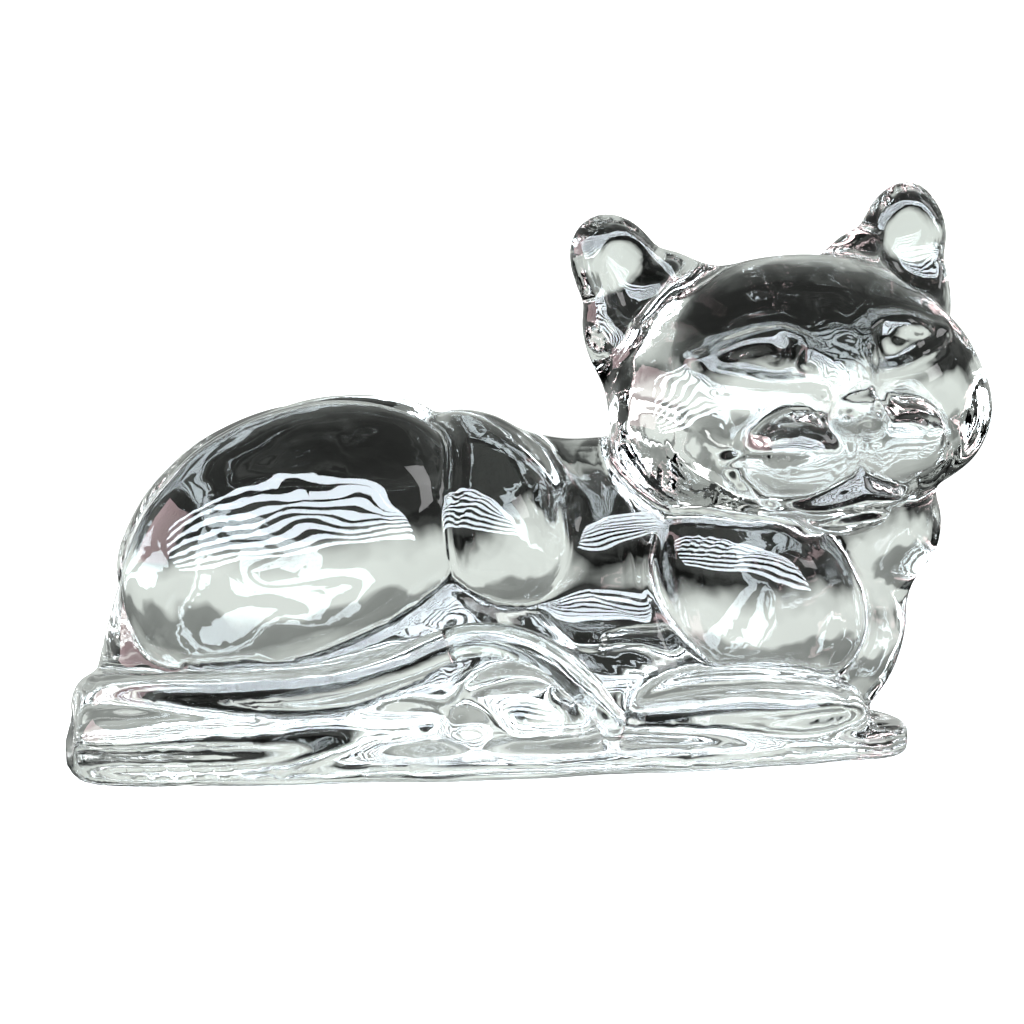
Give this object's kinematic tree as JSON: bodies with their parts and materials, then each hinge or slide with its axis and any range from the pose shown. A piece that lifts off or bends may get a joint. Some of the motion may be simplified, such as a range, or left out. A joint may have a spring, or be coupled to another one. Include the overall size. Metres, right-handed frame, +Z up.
{
  "type": "cat figurine",
  "caption": "Solid clear crystal figurine of a reclining cat on a flat oval plinth, its head turned to one side and its tail curled along its flank.",
  "frame": {"origin": "centre of the whole figurine's bounding box, on its flat underside", "axes": "+X along the body towards the cat's chest and forepaws, +Y towards the cat's left side, +Z up"},
  "size_m": [0.1288, 0.059, 0.08],
  "materials": {
    "crystal": "fire-polished clear lead crystal, with faint moulding waves"
  },
  "bodies": {
    "root": {"base_plinth": "crystal", "belly": "crystal", "bib": "crystal", "cheek_left": "crystal", "cheek_right": "crystal", "chest": "crystal", "chin": "crystal", "ear_left": "crystal", "ear_right": "crystal", "eye_left": "crystal", "eye_right": "crystal", "flank": "crystal", "foreleg_left": "crystal", "foreleg_right": "crystal", "haunch_left": "crystal", "haunch_right": "crystal", "hind_foot_left": "crystal", "hind_foot_right": "crystal", "hock_left": "crystal", "hock_right": "crystal", "jaw": "crystal", "muzzle": "crystal", "nape": "crystal", "neck": "crystal", "nose": "crystal", "rump": "crystal", "shoulder_left": "crystal", "shoulder_right": "crystal", "skull": "crystal", "spine": "crystal", "tail": "crystal"}
  },
  "joints": []
}
